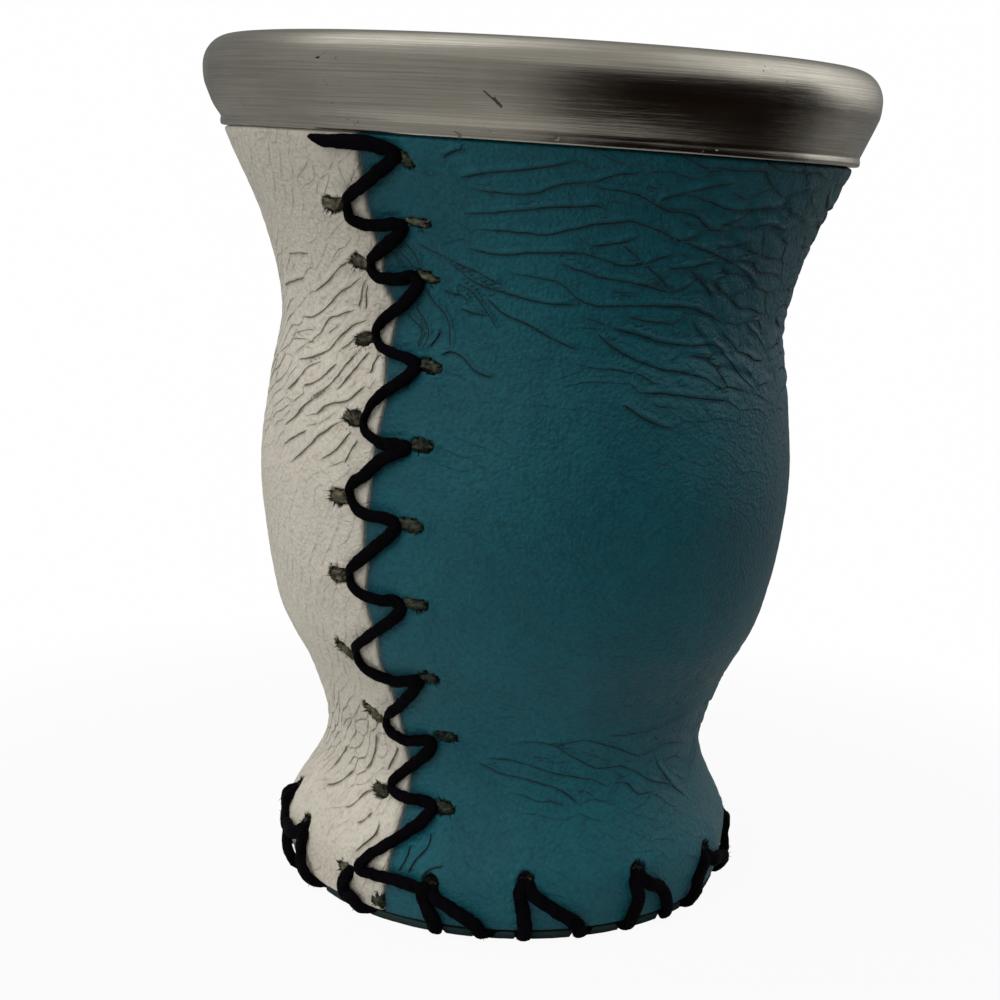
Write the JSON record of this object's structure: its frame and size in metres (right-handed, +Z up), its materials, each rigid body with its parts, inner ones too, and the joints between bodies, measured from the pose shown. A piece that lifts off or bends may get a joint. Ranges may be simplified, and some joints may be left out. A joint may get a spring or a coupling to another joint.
{
  "type": "leather-covered mate cup",
  "caption": "Waisted drinking cup of aluminium with a rolled rim, in a two-colour leather jacket laced up the side and round the base.",
  "frame": {"origin": "middle of the underside, on the surface that the cup stands on", "axes": "+Z up along the axis of the cup; -Y towards the viewer, with the front seam about 31 degrees to the left of it; +X to the viewer's right"},
  "size_m": [0.0838, 0.0838, 0.105],
  "materials": {
    "cup_aluminium": "satin, spun",
    "rim_aluminium": "brushed round the rim, lightly marked",
    "white_leather": "smooth grain, wrinkled where it is pulled",
    "teal_leather": "smooth grain with deep creases, slight sheen",
    "sole_leather": "matt flesh side",
    "waxed_lace": "waxed black cord, slightly fuzzy"
  },
  "bodies": {
    "root": {"cup": "cup_aluminium", "rim": "rim_aluminium", "leather_white": "white_leather", "leather_teal": "teal_leather", "base_disc": "sole_leather", "seam_lace_front": "waxed_lace", "seam_lace_back": "waxed_lace", "base_lace": "waxed_lace"}
  },
  "joints": []
}
